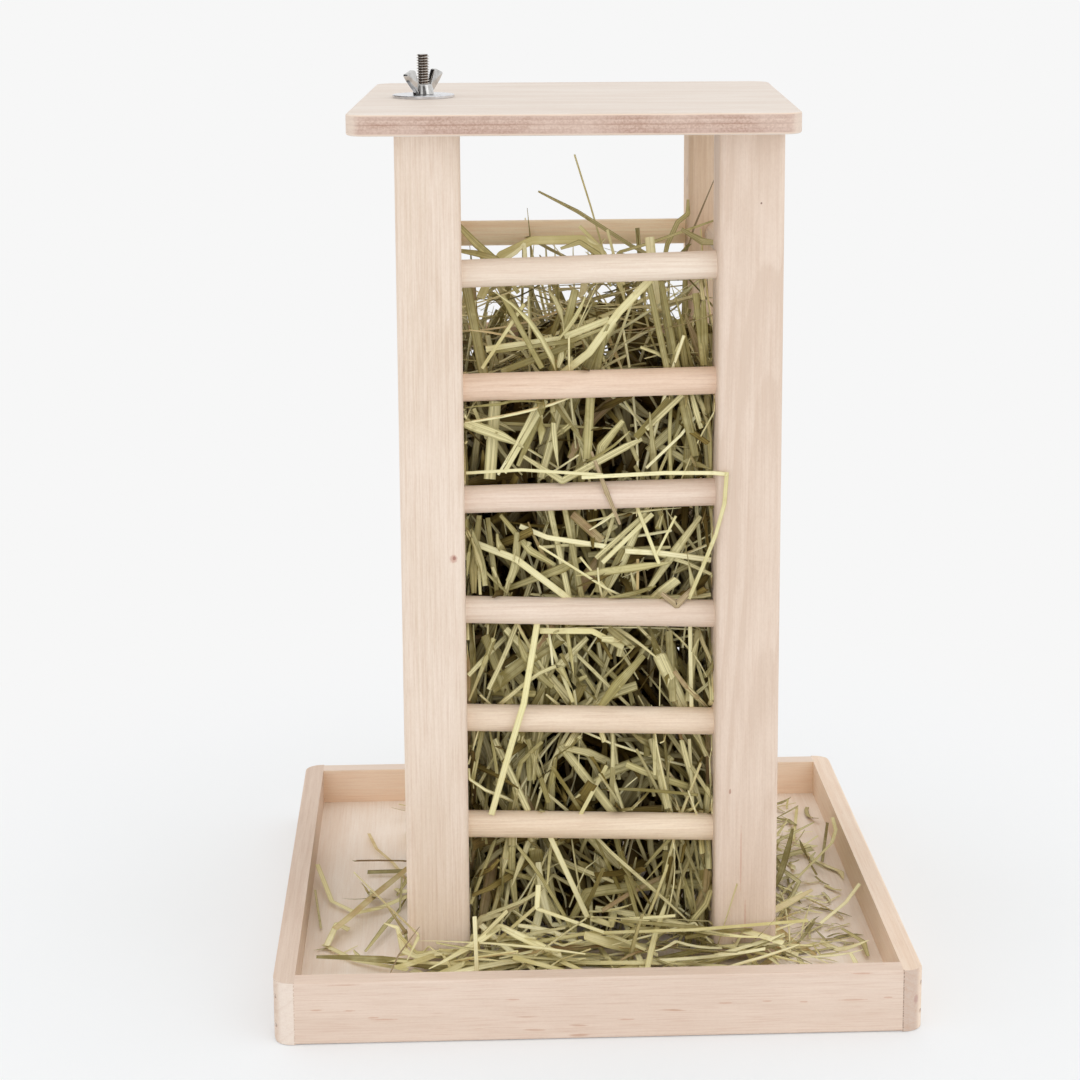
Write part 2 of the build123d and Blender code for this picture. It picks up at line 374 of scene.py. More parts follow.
def seam_mask(place):
    """The rough dotted joint line on the front and rear, where a side rail's end starts."""
    x, y, z = split(place)
    along = join(0.0, 0.0, z)
    jag = noise(along, 700.0, 3.0, 0.7) - 0.5
    off = abs(jag * (1.2 * MM) + (abs(x) - (RAIL_INSIDE + 0.2 * MM)))
    line = step(off, 0.1 * MM, 0.45 * MM, 1.0, 0.0)
    broken = step(noise(along, 1100.0, 1.0), 0.42, 0.55, 0.15, 0.75)
    outside = step(abs(y), TRAY_REAR - 1.5 * MM, TRAY_REAR - 0.5 * MM)
    return line * broken * outside


def sanded_wood(
    name, pieces, grain, light, dark, streak, end=None, shift=(0, 0, 0), spots=(), top=None,
    plywood=False, seam=None, **marks
):
    """Dresses pieces in pale wood; spots are (place, half size, colour, strength), sizes in mm.

    end and seam are the colours of the end grain and the joint line; top is a colour of painted shade
    for the faces that look up.
    The marks are those of PLAIN_GRAIN where they differ from it.
    """
    material, shader, coords = new_material(name, specular=0.35)
    place, normal = coords["Object"], coords["Normal"]
    turned = []
    for source, kind in ((place, "POINT"), (normal, "VECTOR")):
        mapping = add_node("Mapping", source)
        mapping.vector_type = kind
        mapping.inputs["Rotation"].default_value = GRAIN_TURN[grain].to_euler("XYZ")
        if kind == "POINT":
            mapping.inputs["Location"].default_value = shift
        plug(mapping.inputs["Vector"], source)
        turned.append(Wire(mapping.outputs[0]))
    wood = place_group(
        grain_group,
        vector=turned[0],
        normal=turned[1],
        light=srgb(*light),
        dark=srgb(*dark),
        streak=srgb(*streak),
        end=srgb(*(end or dark)),
        **(PLAIN_GRAIN | marks),
    )
    colour = wood["Color"]
    # Painted shade: faces that look up are mixed towards the top colour, darkened as if by how the
    # light falls.
    if top:
        colour = mix(step(split(normal)[2], 0.5, 0.85, 0.0, 0.8), colour, srgb(*top))
    for middle, half_size, spot_colour, strength in spots:
        middle, half_size = Vector(middle) * MM, Vector(half_size) * MM
        spot = place_group(spot_group, vector=place, centre=middle, half_size=half_size)
        colour = mix(spot["Mask"] * strength, colour, srgb(*spot_colour))
    if plywood:
        low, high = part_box(pieces[0])
        size = {"bottom": low.z, "thickness": high.z - low.z}
        colour = place_group(ply_group, vector=place, normal=normal, face=colour, **size)["Color"]
    if seam:
        colour = mix(seam_mask(place), colour, srgb(*seam))
    finish_material(shader, colour, wood, 0.18 * MM, 0.55)
    dress(material, *pieces)


# Where the marks in the wood lie, in mm
POST_FACE = -POST_OUTSIDE / MM
POST_SIDE = POST_INSIDE / MM
TRAY_FACE = TRAY_FRONT / MM

sanded_wood(
    "left post wood", ["post_front_left"], "z", (243, 226, 211), (229, 209, 190), (212, 184, 162),
    end=(214, 190, 168),
    ring_centre=(-0.29, -0.06, 0), ring_width=0.0022, warp=0.003, fibres=0.42, flecks=0.35,
    spots=[
        ((-64.5, POST_FACE, 213), (2.2, 3.0, 2.6), (198, 150, 132), 0.65),
        ((-64.2, POST_FACE, 213.2), (0.9, 3.0, 1.2), (150, 96, 84), 0.7),
    ],
)
sanded_wood(
    "right post wood", ["post_front_right"], "z", (238, 219, 203), (223, 201, 183), (206, 175, 152),
    end=(210, 186, 166), shift=(0.31, 0.17, 0.05),
    ring_centre=(0.394, 0.112, 0), ring_width=0.0036, rings=0.7, warp=0.012, taper=0.035,
    fibres=0.22, flecks=0.22,
    spots=[
        ((78.0, POST_FACE, 378), (0.5, 3.0, 0.6), (120, 84, 70), 0.9),
        ((71.5, POST_FACE, 62), (0.5, 3.0, 20), (212, 168, 146), 0.6),
        ((73.8, POST_FACE, 30), (0.5, 3.0, 16), (208, 164, 142), 0.6),
        ((66.0, POST_FACE, 96), (0.7, 3.0, 1.6), (176, 128, 110), 0.7),
    ],
)
sanded_wood(
    "rear post wood", ["post_rear_left", "post_rear_right"], "z",
    (246, 224, 200), (234, 207, 180), (208, 174, 146),
    end=(212, 188, 164), shift=(0.57, 0.29, 0.11),
    ring_centre=(0.35, 0.5, 0), ring_width=0.003, rings=0.6, warp=0.008, taper=0.02,
    spots=[
        ((POST_SIDE, 68.0, 372), (3.0, 1.8, 3.4), (160, 104, 80), 0.8),
        ((POST_SIDE, 68.0, 372), (3.0, 0.8, 1.3), (104, 62, 48), 0.85),
    ],
)

# Thin reddish streaks in the front rail's grain: x, height and half length, in mm
FRONT_STREAKS = (
    (-130, 16.8, 3.6), (-115, 16.2, 3.0), (-99, 11.6, 8.0), (-104, 12.6, 3.0),
    (58, 16.0, 4.4), (77, 16.5, 3.0), (94, 15.8, 2.4), (117, 16.2, 8.0),
    (133, 17.0, 3.0), (121, 29.0, 6.0), (-40, 20.0, 4.0), (12, 9.0, 5.0),
)
# The rails of the tray have this in common, except where one says otherwise
RAIL_GRAIN = {"warp": 0.008, "taper": 0.01, "fibres": 0.2, "flecks": 0.4}

sanded_wood(
    "front rail wood", ["tray_rail_front"], "x", (236, 216, 200), (226, 204, 187), (196, 152, 126),
    shift=(0.1, 0.37, 0.2), ring_centre=(0.1, 0.31, 0), ring_width=0.0032, rings=0.35,
    **(RAIL_GRAIN | {"warp": 0.009, "fibres": 0.26, "flecks": 0.75}),
    spots=[
        ((x, TRAY_FACE, height), (half_length, 3.0, 0.45), (208, 166, 142), 0.7)
        for x, height, half_length in FRONT_STREAKS
    ],
)
sanded_wood(
    "left rail wood", ["tray_rail_left"], "y", (229, 210, 194), (216, 193, 175), (192, 156, 132),
    end=(243, 228, 215), end_marks=0.3, seam=(198, 166, 142),
    shift=(0.43, 0.05, 0.3), ring_centre=(0.46, 0.21, 0), ring_width=0.003, **RAIL_GRAIN,
)
sanded_wood(
    "right rail wood", ["tray_rail_right"], "y", (247, 229, 211), (238, 214, 192), (206, 168, 140),
    end=(216, 196, 182), seam=(132, 100, 84),
    shift=(0.83, 0.15, 0.6), ring_centre=(0.86, 0.31, 0), ring_width=0.0034, **RAIL_GRAIN,
    spots=[((146.5, TRAY_FACE + 1, 15), (1.6, 3, 3.0), (190, 150, 142), 0.6)],
)
# The rear rail's tones are lightened as painted light for its shaded inner face, and its top face gets
# painted shade from top.
sanded_wood(
    "rear rail wood", ["tray_rail_rear"], "x", (255, 236, 216), (252, 226, 202), (212, 168, 136),
    top=(226, 208, 194), shift=(0.7, 0.11, 0.4), ring_centre=(0.69, 0.05, 0), ring_width=0.0034,
    **(RAIL_GRAIN | {"warp": 0.01, "flecks": 0.5}),
)
sanded_wood(
    "floor plywood", ["tray_floor"], "y", (251, 240, 228), (243, 227, 211), (218, 192, 170),
    plywood=True, shift=(0.9, 0.2, 0.1), ring_centre=(0.9, 0.33, 0), ring_width=0.012,
    warp=0.03, taper=0.03, fibres=0.18, flecks=0.25,
)
sanded_wood(
    "lid plywood", ["lid"], "lid", (238, 229, 220), (228, 214, 202), (208, 184, 168),
    plywood=True, shift=(0.2, 0.6, 0.3), ring_centre=(0.2, 0.4, 0), ring_width=0.014, rings=0.4,
    warp=0.03, taper=0.02, fibres=0.2, flecks=0.25,
    spots=[((76.0, -106.5, 415.4), (0.9, 3.0, 0.55), (96, 66, 54), 0.85)],
)
sanded_wood(
    "lid rail wood", ["lid_rail", "lid_rail_pegs"], "y",
    (232, 212, 195), (218, 195, 176), (198, 165, 142),
    shift=(1.3, 0.5, 0.6), ring_centre=(1.3, 0.7, 0), ring_width=0.003,
)

# The light, dark and streak colours of the rungs, from the top down
RUNG_TONES = (
    ((252, 239, 223), (239, 221, 203), (214, 184, 160)),
    ((247, 223, 202), (232, 203, 179), (204, 166, 140)),
    ((244, 225, 208), (229, 204, 185), (206, 172, 148)),
    ((246, 229, 212), (231, 209, 190), (208, 178, 156)),
    ((251, 233, 211), (235, 212, 188), (208, 176, 150)),
    ((253, 235, 211), (238, 214, 188), (207, 175, 147)),
)
# Lighter tones for the top rear rung: painted light where the lid and the hay keep light off it.
REAR_TOP_PAINTED_LIGHT_TONES = ((255, 242, 214), (250, 226, 192), (218, 182, 146))
RUNG_SIDES = {"front": "x", "rear": "x", "left": "y", "right": "y"}


def dress_rungs():
    for side, grain in RUNG_SIDES.items():
        for level, tones in enumerate(RUNG_TONES, start=1):
            # Painted light: the top rear rung takes the lighter tones.
            if (side, level) == ("rear", 1):
                tones = REAR_TOP_PAINTED_LIGHT_TONES
            shift = (0.13 * level, 0.31 + 0.07 * level, 0.21 * level)
            sanded_wood(
                f"{side} rung {level} wood",
                [f"rung_{side}_{level}"],
                grain,
                *tones,
                shift=shift,
                ring_centre=(shift[0] + 0.03, shift[1] - 0.05, 0),
                ring_width=0.0017 + 0.0004 * (level % 3),
                warp=0.006,
                flecks=0.35,
            )


dress_rungs()

# ---------------------------------------------------------------- metal


def bright_metal(name, light, dark, smooth, depth, root_grime_and_shade=None):
    """Bright metal; root is a dark colour between the teeth of the bolt's thread, part grime and part
    painted shade in its hollows.
    """
    material, shader, coords = new_material(name, metallic=1.0)
    place = coords["Object"]
    metal = place_group(
        metal_group, vector=place, light=srgb(*light), dark=srgb(*dark), smooth=smooth
    )
    colour = metal["Color"]
    # Painted shade and grime: the hollows between the thread's teeth are darkened.
    if root_grime_and_shade:
        reach = ((place - (BOLT_X, 0, 0)) * (1, 1, 0)).math("LENGTH")
        colour = mix(step(reach, THREAD_ROOT, BOLT_RADIUS, 1.0, 0.0), colour, srgb(*root_grime_and_shade))
    finish_material(shader, colour, metal, depth * MM, 0.5)
    return material


# The last colour of the bolt steel is painted shade and grime in the thread's hollows.
bolt_steel = bright_metal("bolt steel", (232, 229, 225), (206, 202, 198), 0.05, 0.004, (112, 96, 84))
nut_steel = bright_metal("nut steel", (210, 209, 207), (184, 182, 180), 0.08, 0.008)
washer_zinc = bright_metal("zinc plate", (226, 227, 230), (208, 209, 213), 0.2, 0.01)
screw_steel = bright_metal("screw steel", (190, 184, 160), (160, 150, 124), 0.3, 0.02)
brad_steel = bright_metal("brad steel", (176, 176, 178), (140, 140, 142), 0.35, 0.02)

dress(washer_zinc, "washer")
dress(screw_steel, "post_screws")
dress(brad_steel, "corner_brads", "floor_brads")

# ---------------------------------------------------------------- bolt and wing nut


def new_piece(name, work, body, *materials, corner=38):
    """Makes an object of a bmesh, with smooth faces; edges over corner degrees stay sharp."""
    mesh = bpy.data.meshes.new(name)
    for face in work.faces:
        face.smooth = True
    work.to_mesh(mesh)
    work.free()
    mesh.set_sharp_from_angle(angle=math.radians(corner))
    for material in materials:
        mesh.materials.append(material)
    obj = bpy.data.objects.new(name, mesh)
    scene.collection.objects.link(obj)
    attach(obj, body)
    return obj


def draw_outline(work, outline, closed):
    """Draws an outline of (radius, height) points in the plane of the bolt's axis."""
    verts = [work.verts.new((BOLT_X + radius, 0, height)) for radius, height in outline]
    edges = [work.edges.new(pair) for pair in zip(verts, verts[1:])]
    if closed:
        edges.append(work.edges.new((verts[-1], verts[0])))
    return verts + edges


def lathe(work, outline, closed=False):
    """Turns an outline once round the bolt's axis and points its faces outwards."""
    bmesh.ops.spin(
        work,
        geom=draw_outline(work, outline, closed),
        cent=(BOLT_X, 0, 0),
        axis=(0, 0, 1),
        angle=math.tau,
        steps=48,
        use_merge=True,
    )
    bmesh.ops.remove_doubles(work, verts=work.verts, dist=0.002 * MM)
    bmesh.ops.dissolve_degenerate(work, edges=work.edges, dist=0.0001 * MM)
    bmesh.ops.recalc_face_normals(work, faces=work.faces)


def round_edges(work, offset):
    bmesh.ops.bevel(
        work,
        geom=work.edges[:],
        offset=offset,
        segments=2,
        profile=0.5,
        affect="EDGES",
        clamp_overlap=True,
        material=-1,
    )


def cut_flat(work, height, keep_below):
    """Cuts a shell level at a height and closes the cut."""
    cut = bmesh.ops.bisect_plane(
        work,
        geom=work.verts[:] + work.edges[:] + work.faces[:],
        plane_co=(0, 0, height),
        plane_no=(0, 0, 1),
        clear_outer=keep_below,
        clear_inner=not keep_below,
    )
    rim = [item for item in cut["geom_cut"] if isinstance(item, bmesh.types.BMEdge)]
    bmesh.ops.edgeloop_fill(work, edges=rim)


def make_thread(work):
    """The screw thread: the outline of one tooth, swept up and round the bolt."""
    steps = 20
    turns = math.ceil((BOLT_TIP - THREAD_START) / THREAD_PITCH) + 3
    base = THREAD_START - 1.5 * THREAD_PITCH
    flank = BOLT_RADIUS - 0.06 * MM
    tooth = (
        (THREAD_ROOT, 0.0),
        (THREAD_ROOT, 0.24),
        (flank, 0.53),
        (BOLT_RADIUS, 0.58),
        (BOLT_RADIUS, 0.66),
        (flank, 0.71),
        (THREAD_ROOT, 1.0),
    )
    outline = [(radius, base + share * THREAD_PITCH) for radius, share in tooth]
    bmesh.ops.spin(
        work,
        geom=draw_outline(work, outline, closed=False),
        cent=(BOLT_X, 0, 0),
        axis=(0, 0, 1),
        dvec=(0, 0, THREAD_PITCH / steps),
        angle=math.tau * turns,
        steps=steps * turns,
    )
    bmesh.ops.remove_doubles(work, verts=work.verts, dist=0.002 * MM)
    cut_flat(work, BOLT_TIP, keep_below=True)
    cut_flat(work, THREAD_START, keep_below=False)
    for vert in work.verts:
        over = vert.co.z - (BOLT_TIP - TIP_CHAMFER)
        off = Vector((vert.co.x - BOLT_X, vert.co.y))
        if over > 0 and off.length > BOLT_RADIUS - over:
            off *= (BOLT_RADIUS - over) / off.length
            vert.co.x, vert.co.y = BOLT_X + off.x, off.y
    bmesh.ops.recalc_face_normals(work, faces=work.faces)


def add_shell(work, part):
    """Adds one closed shell to a piece."""
    mesh = bpy.data.meshes.new("shell")
    part.to_mesh(mesh)
    part.free()
    work.from_mesh(mesh)
    bpy.data.meshes.remove(mesh)


def make_bolt():
    """A carriage bolt: the thread, the shank with its domed head, and the square neck."""
    work = bmesh.new()
    make_thread(work)

    head_radius, head_height = 7.5 * MM, 3.6 * MM
    dome = (head_radius**2 + head_height**2) / (2 * head_height)
    bottom = RAIL_UNDERSIDE - head_height
    widest = math.asin(0.985 * head_radius / dome)
    outline = []
    for index in range(9):
        angle = widest * index / 8
        outline.append((dome * math.sin(angle), bottom + dome * (1 - math.cos(angle))))
    outline += [
        (head_radius, RAIL_UNDERSIDE - 0.25 * MM),
        (head_radius - 0.1 * MM, RAIL_UNDERSIDE),
        (BOLT_RADIUS, RAIL_UNDERSIDE),
        (BOLT_RADIUS, THREAD_START + 0.4 * MM),
        (0.0, THREAD_START + 0.4 * MM),
    ]
    shank = bmesh.new()
    lathe(shank, outline)
    add_shell(work, shank)

    neck_width, neck_height = 6.6 * MM, 3.8 * MM
    middle = (BOLT_X, 0, RAIL_UNDERSIDE + neck_height / 2)
    neck = bmesh.new()
    bmesh.ops.create_cube(neck, size=1.0)
    bmesh.ops.scale(neck, verts=neck.verts, vec=(neck_width, neck_width, neck_height))
    bmesh.ops.translate(neck, verts=neck.verts, vec=middle)
    round_edges(neck, 0.35 * MM)
    add_shell(work, neck)
    bolt = new_piece("threaded_bolt", work, "frame", bolt_steel)
    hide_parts("carriage_bolt")


def make_wing_nut():
    """A cast wing nut: the boss with its bore and two wings, with their outlines in mm."""
    bore = BOLT_RADIUS / MM + 0.05
    boss_outline = (
        (bore + 0.35, 0.0),
        (4.95, 0.0),
        (5.2, 0.25),
        (5.12, 0.8),
        (4.3, 4.5),
        (4.1, 4.85),
        (3.8, 5.0),
        (bore + 0.35, 5.0),
        (bore, 4.65),
        (bore, 0.35),
    )
    wing_outline = (
        (3.9, 0.7),
        (5.15, 0.7),
        (7.6, 2.9),
        (11.2, 6.6),
        (13.3, 9.4),
        (12.9, 10.2),
        (8.1, 12.0),
        (7.2, 11.6),
        (5.6, 7.6),
        (3.9, 4.2),
    )
    thickness = 2.8 * MM
    work = bmesh.new()
    boss = bmesh.new()
    lathe(boss, [(radius * MM, NUT_SEAT + height * MM) for radius, height in boss_outline], closed=True)
    add_shell(work, boss)
    for side in (0, math.pi):
        wing = bmesh.new()
        verts = [wing.verts.new((u * MM, -thickness / 2, w * MM)) for u, w in wing_outline]
        face = bmesh.ops.contextual_create(wing, geom=verts)["faces"]
        grown = bmesh.ops.extrude_face_region(wing, geom=face)["geom"]
        moved = [item for item in grown if isinstance(item, bmesh.types.BMVert)]
        bmesh.ops.translate(wing, verts=moved, vec=(0, thickness, 0))
        bmesh.ops.recalc_face_normals(wing, faces=wing.faces)
        round_edges(wing, 0.32 * MM)
        turn = Matrix.Rotation(side + NUT_TURN, 3, "Z")
        bmesh.ops.rotate(wing, verts=wing.verts, matrix=turn)
        bmesh.ops.translate(wing, verts=wing.verts, vec=(BOLT_X, 0, NUT_SEAT))
        add_shell(work, wing)
    nut = new_piece("winged_nut", work, "wing_nut", nut_steel)
    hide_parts("wing_nut")


make_bolt()
make_wing_nut()

# ---------------------------------------------------------------- dried grass


def make_leaf_group():
    """Dried grass: a tone for each blade, pale and dull patches, fine ribs, and painted shade inside
    the tower below the hay's top.
    """
    tree, taken, given = new_group(
        "dried blade",
        ("Vector", "Place"),
        ("Pale", "Green", "Olive", "Brown"),
        ("Chance", "Rib Depth"),
    )
    vector, chance = taken["Vector"], taken["Chance"]
    pale, olive = taken["Pale"], taken["Olive"]
    other = (chance * 17.0).math("FRACT")
    third = (chance * 91.0).math("FRACT")
    patch = noise(vector, 190.0, 2.0, 0.6)
    colour = mix(step(chance, 0.0, 0.65), taken["Green"], pale)
    colour = mix(step(other, 0.3, 1.0, 0.0, 0.85), colour, olive)
    colour = mix(step(third, 0.94, 0.97, 0.0, 0.85), colour, taken["Brown"])
    colour = mix(step(noise(vector, 75.0, 3.0, 0.6), 0.42, 0.7, 0.0, 0.4), colour, pale)
    colour = mix(step(patch, 0.55, 0.75, 0.0, 0.35), colour, olive)

    length_share, round_share, _ = split(taken["Place"])
    across = (round_share * (2 * math.tau)).math("COSINE")
    rib = noise(join(round_share * 22.0, length_share * 0.8, chance * 50.0), 1.0, 2.0, 0.6)
    colour = mix(step(rib, 0.42, 0.66) * taken["Rib Depth"], colour, olive, "MULTIPLY")
    edge = step(across, 0.2, 1.0, 0.0, 0.6).math("MAXIMUM", step(across, -1.0, -0.96, 0.35, 0.0))
    colour = mix(edge, colour, olive)

    # Painted shade: blades inside the tower and below the hay's top are darkened towards a dark brown.
    x, y, z = split(vector)
    reach = abs(x).math("MAXIMUM", abs(y))
    painted_shade_inside = step(reach, POST_INSIDE - 14 * MM, POST_INSIDE + 9 * MM, 1.0, 0.0)
    under = step(z, HAY_LEVEL - 28 * MM, HAY_LEVEL + 8 * MM, 0.88, 0.0)
    plug(given["Color"], mix(painted_shade_inside * under, colour, srgb(82, 58, 8)))
    plug(given["Roughness"], patch * 0.25 + 0.48)
    plug(given["Height"], patch - rib * 0.7)
    return tree


def dry_leaf(name, pale, green, olive, brown, rib_depth=0.45):
    material, shader, coords = new_material(name, specular=0.3)
    place = coords["Object"]
    leaf = place_group(
        leaf_group,
        vector=place,
        place=coords["UV"],
        chance=wires(add_node("NewGeometry", place))["Random Per Island"],
        rib_depth=rib_depth,
        pale=srgb(*pale),
        green=srgb(*green),
        olive=srgb(*olive),
        brown=srgb(*brown),
    )
    finish_material(shader, leaf["Color"], leaf, 0.12 * MM, 0.6)
    return material


leaf_group = make_leaf_group()
hay_leaf = dry_leaf("hay leaf", (236, 227, 176), (204, 193, 132), (128, 114, 54), (168, 134, 98))
# A darker copy of the hay's tones for the core of the tower: painted shade.
hay_painted_shade = dry_leaf("hay leaf in painted shade", (156, 138, 76), (118, 102, 47), (80, 62, 18), (94, 66, 36))
hay_straw = dry_leaf("straw", (254, 248, 206), (244, 236, 182), (204, 191, 128), (210, 178, 126), 0.22)
hay_brown = dry_leaf(
    "withered leaf", (204, 184, 146), (188, 166, 130), (142, 120, 90), (124, 98, 74), 0.5
)

# ---------------------------------------------------------------- blades of hay

UP = Vector((0, 0, 1))

# Sections of a leaf and of a stem, in half widths
LEAF_SECTION = ((-1.0, 0.10), (0.0, -0.24), (1.0, 0.10), (0.0, -0.07))
STEM_SECTION = ((-1.0, 0.0), (-0.5, -0.75), (0.5, -0.75), (1.0, 0.0), (0.5, 0.75), (-0.5, 0.75))

# Where hay may lie in the tower and in the tray, and its gaps to the rungs and the posts
TOWER_LOWEST = FLOOR_TOP + 0.8 * MM
TOWER_HIGHEST = LID_UNDERSIDE - 3 * MM
TOWER_REACH = POST_OUTSIDE - 10 * MM
RUNG_GAP = 0.4 * MM
TRAY_LOWEST = FLOOR_TOP + 0.9 * MM
TRAY_REACH = RAIL_INSIDE - 1 * MM
POST_GAP = 0.3 * MM
# A loose blade that is moved out of a post lies no higher than this beside it
BESIDE_POST = FLOOR_TOP + 7 * MM

# How a blade turns and folds; a crease reaches this far to each side, in mm
FACING_SPREAD = 0.75
MOST_TWIST = 0.6
UNEVEN = 0.03
TIP_WIDTHS = (0.95, 0.75, 0.4, 0.15)
FOLD_ANGLES = (25, 105)
CREASE_ANGLE = math.radians(18)
CREASE_REACH = 0.4

# Blades against each open side of the tower: the way out, and how many
SIDE_LAYERS = {
    "front": (Vector((0, -1, 0.25)), 640),
    "rear": (Vector((0, 1, 0.25)), 420),
    "left": (Vector((-1, 0, 0.25)), 420),
    "right": (Vector((1, 0, 0.25)), 420),
}
# How many blades fill the core, and how many stick up out of the top
CORE_COUNT = 1000
LOOSE_COUNT = 170
# The spill on each side: the turn from the front in degrees, how many, and half its length in mm
FOOT_SPILLS = ((0, 132, 80), (90, 22, 66), (180, 40, 60), (270, 6, 50))
# Patches of short bits on the tray's floor: two corners in mm, and how many
BIT_PATCHES = (
    ((91, -108), (128, 10), 78),
    ((91, 10), (126, 122), 46),
    ((-134, -116), (-92, 30), 8),
    ((-90, 94), (90, 134), 24),
)


def rung_axis(name, along):
    """The two ends of a rung's axis, as the middles of the rung's end faces."""
    corners = [vert.co for vert in nodes[name].data.vertices]
    ends = []
    for pick in (min, max):
        limit = pick(corner[along] for corner in corners)
        rim = [corner for corner in corners if abs(corner[along] - limit) < 1 * MM]
        ends.append(Vector([(min(part) + max(part)) / 2 for part in zip(*rim)]))
    return ends


RUNGS = []
for side, grain in RUNG_SIDES.items():
    along = "xy".index(grain)
    for level in range(len(RUNG_TONES)):
        RUNGS.append((along, *rung_axis(f"rung_{side}_{level + 1}", along)))


def clear_of_frame(place, half_width):
    """Moves a point of the hay so that its blade clears the posts, the rungs and the lid."""
    place = Vector(place)
    inside = POST_INSIDE - 0.7 * half_width
    for side in (0, 1):
        place[side] = max(-TOWER_REACH, min(TOWER_REACH, place[side]))
    if abs(place.x) > inside and abs(place.y) > inside:
        side = 1 if abs(place.x) > abs(place.y) else 0
        place[side] = math.copysign(inside, place[side])
    reach = RUNG_RADIUS + 0.6 * half_width + RUNG_GAP
    for along, start, end in RUNGS:
        across = 1 - along
        if place[across] * start[across] < 0:
            continue
        share = (place[along] - start[along]) / (end[along] - start[along])
        axis = start.lerp(end, share)
        off = abs(place.z - axis.z)
        if off < reach:
            limit = abs(axis[across]) - math.sqrt(reach**2 - off**2)
            if abs(place[across]) > limit:
                place[across] = math.copysign(limit, place[across])
    place.z = max(TOWER_LOWEST, min(TOWER_HIGHEST, place.z))
    return place


def in_tray(place, half_width):
    """Keeps a point of a loose blade on the tray's floor, inside its rails and clear of posts."""
    place = Vector(place)
    inside = TRAY_REACH - half_width
    for side in (0, 1):
        place[side] = max(-inside, min(inside, place[side]))
    place.z = max(TRAY_LOWEST, place.z)
    near, far = POST_INSIDE - half_width, POST_OUTSIDE + POST_GAP + half_width
    if near < abs(place.x) < far and near < abs(place.y) < far:
        side = 1 if abs(place.y) > abs(place.x) else 0
        place[side] = math.copysign(far, place[side])
        place.z = min(place.z, BESIDE_POST)
    return place


def facing_turn(way, facing):
    """The turn about its own line that makes a blade's flat side face a direction."""
    up = UP - way * way.z
    across = facing - way * facing.dot(way)
    if up.length < 1e-4 or across.length < 1e-4:
        return 0.0
    return math.atan2(up.cross(across).dot(way), up.dot(across))


def random_way(rng, spread=(1.0, 1.0, 1.0)):
    while True:
        way = Vector([rng.uniform(-1, 1) * part for part in spread])
        if 0.05 < way.length:
            return way.normalized()


def grow_blade(rng, start, way, length, width, facing, keep, points=8, bend=0.1, fold=0.3):
    """One blade as (place, half width, turn) points: nearly straight, some with a sharp fold.

    keep moves each point to where it may lie, bend is how much the blades curl, and fold is the
    share of them that have a fold.
    """
    stride = length / (points - 1)
    place, way = Vector(start), Vector(way).normalized()
    curl = random_way(rng) * rng.gauss(0, bend)
    fold_at = rng.randrange(2, points - 2) if rng.random() < fold else -1
    facing = (facing + random_way(rng) * rng.uniform(0, FACING_SPREAD)).normalized()
    tips = [rng.choice(TIP_WIDTHS) for _ in range(2)]
    line, turn = [], None
    for index in range(points):
        place = keep(place, width / 2)
        share = index / (points - 1)
        near = min(share, 1 - share) * 2
        tip = tips[0] if share < 0.5 else tips[1]
        half = width / 2 * (tip + (1 - tip) * min(1.0, near * 1.6))
        new_turn = facing_turn(way, facing)
        if turn is not None:
            change = (new_turn - turn + math.pi) % math.tau - math.pi
            new_turn = turn + max(-MOST_TWIST, min(MOST_TWIST, change))
        turn = new_turn
        line.append((place.copy(), half, turn))
        if index == fold_at:
            axis = facing if rng.random() < 0.7 else random_way(rng)
            angle = rng.choice((-1, 1)) * math.radians(rng.uniform(*FOLD_ANGLES))
            way.rotate(Matrix.Rotation(angle, 3, axis))
        way = (way + curl + random_way(rng) * UNEVEN).normalized()
        place = place + way * stride
    return line


def crease(line):
    """Makes each sharp turn of a blade a narrow crease, so that it keeps its width there."""
    creased = [line[0]]
    for before, here, after in zip(line, line[1:], line[2:]):
        place, half, turn = here
        back, ahead = before[0] - place, after[0] - place
        if min(back.length, ahead.length) > 1 * MM and back.angle(-ahead) > CREASE_ANGLE:
            for way in (back, ahead):
                creased.append((place + way.normalized() * CREASE_REACH * MM, half, turn))
        else:
            creased.append(here)
    return creased + [line[-1]]


def draw_lines(name, lines, closed=False, **settings):
    """A curve object through lines of (place, radius, tilt) points."""
    curve = bpy.data.curves.new(name, "CURVE")
    for label, value in settings.items():
        setattr(curve, label, value)
    for line in lines:
        spline = curve.splines.new("POLY")
        spline.points.add(len(line) - 1)
        for point, (place, radius, tilt) in zip(spline.points, line):
            point.co = (*place, 1)
            point.radius = radius
            point.tilt = tilt
        spline.use_cyclic_u = closed
    obj = bpy.data.objects.new(name, curve)
    scene.collection.objects.link(obj)
    return obj


def make_blades(name, lines, section, material):
    """One piece of many closed blades, all with the same section."""
    outline = [((across, up, 0), 1.0, 0.0) for across, up in section]
    profile = draw_lines("blade section", [outline], closed=True, dimensions="2D")
    blades = draw_lines(
        "blade lines",
        [crease(line) for line in lines],
        dimensions="3D",
        twist_mode="Z_UP",
        bevel_mode="OBJECT",
        bevel_object=profile,
        use_fill_caps=True,
    )
    graph = bpy.context.evaluated_depsgraph_get()
    mesh = bpy.data.meshes.new_from_object(blades.evaluated_get(graph))
    work = bmesh.new()
    work.from_mesh(mesh)
    bpy.data.meshes.remove(mesh)
    for obj in (blades, profile):
        bpy.data.curves.remove(obj.data)
    bmesh.ops.remove_doubles(work, verts=work.verts, dist=0.0001 * MM)
    bmesh.ops.recalc_face_normals(work, faces=work.faces)
    new_piece(name, work, "frame", material, corner=50)


